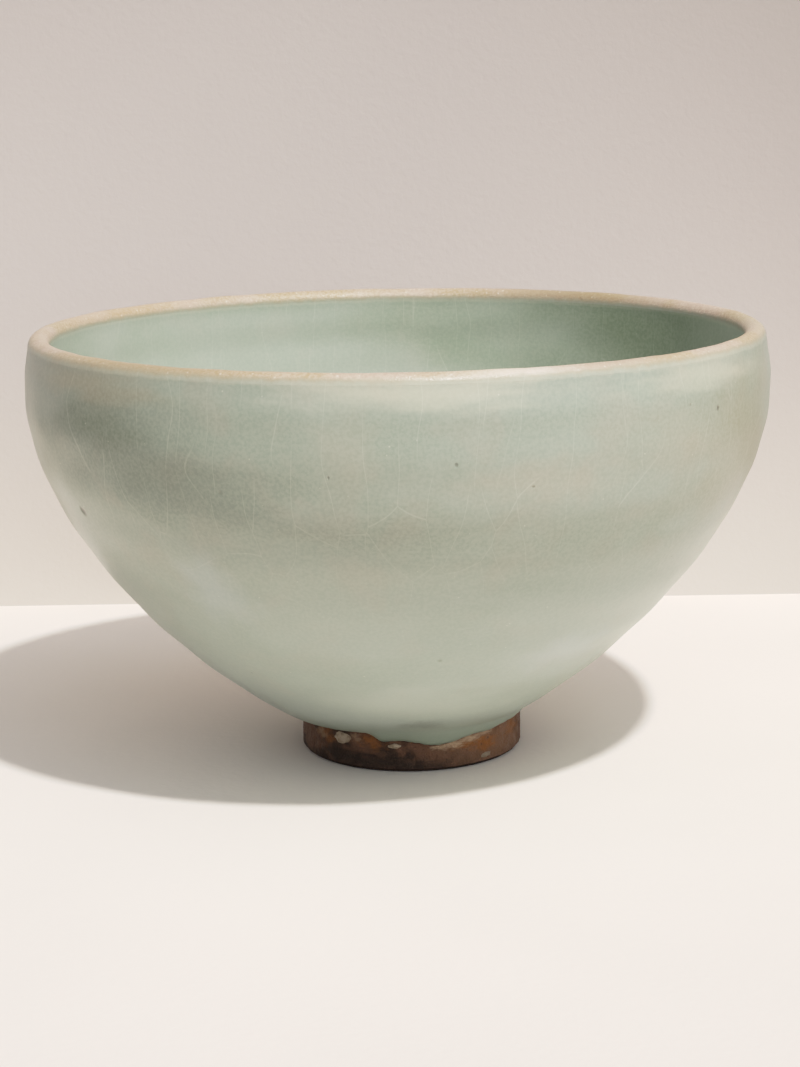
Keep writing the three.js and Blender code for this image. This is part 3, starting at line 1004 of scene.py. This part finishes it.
def build_clay():
    recess = FOOT_RADIUS - FOOT_WIDTH
    stretches = [
        ((NIPPLE_RADIUS * 0.3, RECESS_DEPTH - NIPPLE_HEIGHT), (NIPPLE_RADIUS, RECESS_DEPTH), 6),
        ((NIPPLE_RADIUS + 0.8, RECESS_DEPTH), (recess - RECESS_TAPER - 0.4, RECESS_DEPTH), 22),
        ((recess - RECESS_TAPER, RECESS_DEPTH - 0.5), (recess, FOOT_CHAMFER), 8),
        ((recess + FOOT_CHAMFER * 0.3, FOOT_CHAMFER * 0.3), (recess + FOOT_CHAMFER, 0), 3),
        ((recess + FOOT_CHAMFER + 0.5, 0), (FOOT_RADIUS - FOOT_CHAMFER, 0), 9),
        ((FOOT_RADIUS - FOOT_CHAMFER * 0.3, FOOT_CHAMFER * 0.3), (FOOT_RADIUS, FOOT_CHAMFER), 3),
        ((FOOT_RADIUS, FOOT_CHAMFER + 0.6), (FOOT_RADIUS, FOOT_HEIGHT - 2.4), 10),
    ]
    foot = [foot_ring(r, z) for start, end, count in stretches for r, z in np.linspace(start, end, count)]
    corner = ring(foot_circle(FOOT_RADIUS), corner_height)
    lip = lip_arc(WALL_AT_LIP / 2, 12)[1:-1]
    rows = [*foot, corner, *rings(outside[::6]), ring(*outside[-1]), *rings(lip), *rings(inside[:-1:6])]
    nipple = (FOOT_OFFSET, 0, RECESS_DEPTH - NIPPLE_HEIGHT)
    return turned("thrown_clay", rows, nipple, (0, 0, inside[-1][1]))


GROOVE_DEPTH = 0.08
CHIP_DEPTH = 0.12
WEAR_DEPTH = 0.1


def foot_relief(point):
    """Turning grooves in the recess and small chips on the edges, only where the foot is bare"""
    if point.z > RECESS_DEPTH + 0.5 or point.z < 0.01:
        return 0
    away = math.hypot(point.x - FOOT_OFFSET, point.y)
    grooves = GROOVE_DEPTH * math.sin(away * 2.4) if away < FOOT_RADIUS - FOOT_WIDTH else 0
    chips = CHIP_DEPTH * abs(soft_noise(point, 2.2, 8.8))
    return min(0, grooves - chips - WEAR_DEPTH * abs(soft_noise(point, 5, 1.2)))


thrown_clay = build_clay()
relief(thrown_clay, foot_relief)
dress(thrown_clay, clay_finish, "stoneware_body", slot="stoneware")

# %% Build the wash on the foot
WASH_THICKNESS = 0.25
WASH_BOTTOM = 1
WASH_ROWS = 22


def build_wash():
    bonded = foot_circle(FOOT_RADIUS + BOND)
    face = foot_circle(FOOT_RADIUS + BOND + WASH_THICKNESS)
    top = glaze_edge_height - BOND
    share = np.linspace(0, 1, WASH_ROWS)
    rows = [ring(bonded, WASH_BOTTOM)]
    rows += [ring(face, WASH_BOTTOM + (top - WASH_BOTTOM) * s) for s in share]
    rows += [ring(bonded, top)]
    return turned("wash_on_foot", rows)


def wash_relief(point):
    away = math.hypot(point.x - FOOT_OFFSET, point.y)
    if away < FOOT_RADIUS + BOND + 0.05:
        return 0
    return 0.12 * soft_noise(point, 2.4, 6.1) + 0.06 * soft_noise(point, 0.9, 2.2)


wash_on_foot = build_wash()
relief(wash_on_foot, wash_relief)
dress(wash_on_foot, wash_finish, "foot_wash", slot="foot_wash")

# %% [markdown]
# ## The splash of glaze under the foot
#
# Potters often dabbed glaze on the base. It has no wall to run down, so it stays a flat pool with a
# rounded rim.

# %% Build the splash in the recess
BASE_GLAZE_RADIUS = 15
BASE_GLAZE_THICKNESS = 0.7
BASE_GLAZE_WAVE = 1.4
BASE_GLAZE_WAVES = 3


def nipple_dip(radius):
    return NIPPLE_HEIGHT * np.clip(1 - radius / NIPPLE_RADIUS, 0, 1)


def build_base_glaze():
    top = RECESS_DEPTH - BOND
    outline = BASE_GLAZE_RADIUS + BASE_GLAZE_WAVE * np.sin(BASE_GLAZE_WAVES * azimuths)
    rows = []
    for share in np.linspace(0.12, 1, 22):
        depth = BASE_GLAZE_THICKNESS * math.sqrt(1 - (share * 0.999) ** 10)
        radius = outline * share
        rows.append(ring(foot_circle(radius), top - depth - nipple_dip(radius)))
    for share in (1, 0.7, 0.4, 0.2):
        radius = outline * share
        rows.append(ring(foot_circle(radius), top - nipple_dip(radius)))
    low = (FOOT_OFFSET, 0, top - BASE_GLAZE_THICKNESS - NIPPLE_HEIGHT)
    return turned("glaze_on_base", rows, low, (FOOT_OFFSET, 0, top - NIPPLE_HEIGHT))


glaze_on_base = build_base_glaze()
dress(glaze_on_base, inner_finish, "base_glaze", slot="outer_glaze")

# %% [markdown]
# ## The splashes on the foot
#
# Three drops of glaze fell on the wash. They were too thin to melt smooth, so they fired matte and
# chalky. Each one is a low dome whose outline is pulled about by noise.

# %% Build the splashes
# name, azimuth, height, width, length, rise
SPLASHES = [
    ("left", -128, 8.2, 6.2, 3.8, 0.35),
    ("centre", -99, 7.4, 4, 1.6, 0.35),
    ("right", -49, 2.5, 4, 1.8, 0.35),
]


def crust_material():
    material, tree, shader = new_material("splash_finish", Specular_IOR_Level=0.35)
    place = millimetre_place(tree)
    rough = use_group(tree, grit, {"Place": place, "Size": 0.5})
    wide = cloud_mask(tree, place, 1.8, 0.35, 0.65)
    colour = mix_colour(tree, wide, srgb(176, 159, 137), srgb(140, 122, 102))
    colour = tinted(tree, colour, rough["Dark"], 0.4, srgb(90, 76, 60))
    finish_matte(tree, shader, colour, rough["Height"], 0.6, 0.15, remap(tree, wide, 0, 1, 0.5, 0.65))
    return material


def build_splash(name, azimuth, height, width, length, rise):
    """A dome on the foot's side, drawn as rings about its own middle"""
    around, across = 40, 9
    base = FOOT_RADIUS + 2 * BOND + WASH_THICKNESS
    angle = math.radians(azimuth)
    out = Vector((math.cos(angle), math.sin(angle), 0))
    along = Vector((-math.sin(angle), math.cos(angle), 0))
    centre = Vector((FOOT_OFFSET, 0, height))
    points = []
    for share in np.linspace(0.1, 1, across):
        for turn in np.linspace(0, 2 * math.pi, around, endpoint=False):
            edge = Vector((math.cos(turn), math.sin(turn), azimuth))
            ragged = share * (0.86 + 0.3 * soft_noise(edge, 0.8) + 0.12 * soft_noise(edge, 0.3))
            side = ragged * width / 2 * math.cos(turn)
            up = ragged * length / 2 * math.sin(turn)
            away = math.sqrt(base**2 - side**2) + rise * (1 - share**3)
            points.append(centre + along * side + out * away + Vector((0, 0, up)))
    faces = []
    for row in range(across - 1):
        for i in range(around):
            j = (i + 1) % around
            a, b = row * around, (row + 1) * around
            faces.append((a + i, b + i, b + j, a + j))
    faces.append(list(range(around)))
    faces.append([(across - 1) * around + i for i in range(around)][::-1])
    return new_piece(name, points, faces)


crust_finish = crust_material()
for name, *sizes in SPLASHES:
    splash = build_splash("splash_" + name, *sizes)
    dress(splash, crust_finish, "glaze_splash_" + name, slot="glaze_splash")

# %% [markdown]
# ## The table, the wall and the light
#
# The bowl stands on white paper under one hard lamp that a pale room softens. The photographed shadow
# is wider than the bowl, which parallel sunlight could not do, so the lamp hangs 2.4 metres up. The paper
# and the wall behind are one material. It is see-through from the back, so that a camera behind the wall
# or under the table still sees the bowl. Each sheet carries painted shade that greys it away from a lit
# middle, and the wall is painted paler towards the table, as light bounced off the table would make it.

# %% Lay the table and the wall
WALL_DISTANCE = 168
TABLE_REACH = 4000
# painted light: the wall is painted paler towards the table, as light bounced off the table would make it
WALL_PAINTED_BOUNCE = 0.5  # how far the wall pales towards the table
PAINTED_BOUNCE_HEIGHT = 110.0
# the middle of each sheet's lit part, and the distances from it between which the sheet turns grey in
# painted shade
TABLE_PAINTED_SHADE = ((-60, 250, 0), 200.0, 1100.0)
WALL_PAINTED_SHADE = ((-80, WALL_DISTANCE, -40), 150.0, 450.0)


def paper_material(name, tone, far_shade_tone, blotches, fade, painted_bounce=0.0):
    material, tree, shader = new_material(name, Roughness=0.9, Specular_IOR_Level=0.15)
    place = millimetre_place(tree)
    wide = cloud_mask(tree, place, 130.0, 0.3, 0.7)
    colour = tinted(tree, tone, wide, blotches, srgb(228, 221, 210))
    height = add(tree, "SeparateXYZ", {0: place}).outputs["Z"]
    # painted bounce light: paler low on the wall, fading out with height
    low = remap(tree, height, 0.0, PAINTED_BOUNCE_HEIGHT, painted_bounce, 0.0)
    colour = mix_colour(tree, low, colour, srgb(232, 223, 210))
    # painted shade: the sheet turns grey away from the middle of its lit part
    centre, start, end = fade
    away = length_of(tree, vector_node(tree, "SUBTRACT", place, centre))
    colour = mix_colour(tree, remap(tree, away, start, end), colour, far_shade_tone)
    tree.links.new(colour, shader.inputs["Base Color"])
    fibre = cloud_mask(tree, place, 2.4, 0.2, 0.8)
    bump = add(tree, "Bump", {"Height": fibre, "Strength": 0.4, "Distance": 0.12 * MM})
    tree.links.new(bump.outputs[0], shader.inputs["Normal"])
    clear = add(tree, "BsdfTransparent")
    behind = add(tree, "NewGeometry").outputs["Backfacing"]
    both = add(tree, "MixShader", {0: behind, 1: shader.outputs[0], 2: clear.outputs[0]})
    tree.links.new(both.outputs[0], tree.nodes["Material Output"].inputs["Surface"])
    return material


def build_sheet(name, corners, material):
    sheet = new_piece(name, corners, [(0, 1, 2, 3)], smooth=False)
    sheet.data.materials.append(material)
    sheet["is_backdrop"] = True


far = TABLE_REACH
build_sheet(
    "table",
    [(-far, -far, 0), (far, -far, 0), (far, far, 0), (-far, far, 0)],
    paper_material("table_paper", srgb(251, 242, 234), srgb(158, 152, 146), 0.2, TABLE_PAINTED_SHADE),
)
build_sheet(
    "wall",
    [(x, WALL_DISTANCE, z) for x, z in ((-far, 0), (far, 0), (far, far), (-far, far))],
    paper_material("wall_paper", srgb(200, 192, 189), srgb(150, 142, 138), 0.06, WALL_PAINTED_SHADE, WALL_PAINTED_BOUNCE),
)

# %% Light the room
LAMP_PLACE = (744, -1240, 2400)
LAMP_RADIUS = 72
LAMP_POWER = 330  # watts
LAMP_COLOUR = (1.0, 0.935, 0.865)
ROOM_COLOUR = (0.915, 0.965, 1.03, 1)
ROOM_STRENGTH = 0.5
ROOM_TILT = 0.6  # how much brighter the room is towards its bright side than on average
ROOM_BRIGHT_SIDE = (0.74, 0.02, 0.67)
ROOM_DARKEST = 0.12


def hang_lamp():
    data = bpy.data.lights.new("lamp", "POINT")
    data.energy = LAMP_POWER
    data.shadow_soft_size = LAMP_RADIUS * MM
    data.color = LAMP_COLOUR
    lamp = bpy.data.objects.new("lamp", data)
    bpy.context.collection.objects.link(lamp)
    lamp.location = [value * MM for value in LAMP_PLACE]


def light_room():
    world = bpy.data.worlds.new("room")
    bpy.context.scene.world = world
    world.use_nodes = True
    tree = world.node_tree
    background = tree.nodes["Background"]
    background.inputs["Color"].default_value = ROOM_COLOUR
    direction = add(tree, "TexCoord").outputs["Generated"]
    side = add(tree, "VectorMath", {0: direction, 1: ROOM_BRIGHT_SIDE}, operation="DOT_PRODUCT")
    tilt = math_node(tree, "MULTIPLY_ADD", side.outputs["Value"], ROOM_TILT)
    tilt.node.inputs[2].default_value = ROOM_STRENGTH
    tree.links.new(math_node(tree, "MAXIMUM", tilt, ROOM_DARKEST), background.inputs["Strength"])


hang_lamp()
light_room()
print("the lamp and the room light are on")

# %% [markdown]
# ## The film
#
# A camera doesn't record light in proportion. Its response bends over near white, so lit paper keeps
# its tone while shade stays dark. The scene could be lit more evenly instead, but then the bowl's own
# shading would go flat. A short curve before the standard view gives the same shoulder.

# %% Bend the highlights
WHITE_LIGHT = 1.6
FILM_CURVE = [(0.0, 0.0), (0.16, 0.25), (0.32, 0.50), (0.5, 0.69), (0.7, 0.812), (1.0, 0.965)]


def set_film():
    view = bpy.context.scene.view_settings
    view.view_transform = "Standard"
    view.use_curve_mapping = True
    mapping = view.curve_mapping
    mapping.white_level = (WHITE_LIGHT,) * 3
    shoulder = mapping.curves[3].points
    shoulder[0].location = FILM_CURVE[0]
    shoulder[1].location = FILM_CURVE[-1]
    for place in FILM_CURVE[1:-1]:
        shoulder.new(*place)
    mapping.update()
    return len(shoulder)


print("the film curve has", set_film(), "points")

# %% [markdown]
# ## Compare the size
#
# The dressed model must fill the same box as the frame, so the script prints how far the dressed box lies
# from the frame's.

# %% Compare the boxes
dressed_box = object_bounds()
boxes = {
    "cad": [list(corner) for corner in cad_box],
    "visual": [list(corner) for corner in dressed_box],
}
print("visual minus frame, low corner and high corner, in mm:")
for before, after in zip(boxes["cad"], boxes["visual"]):
    print([round((b - a) / MM, 2) for a, b in zip(before, after)])
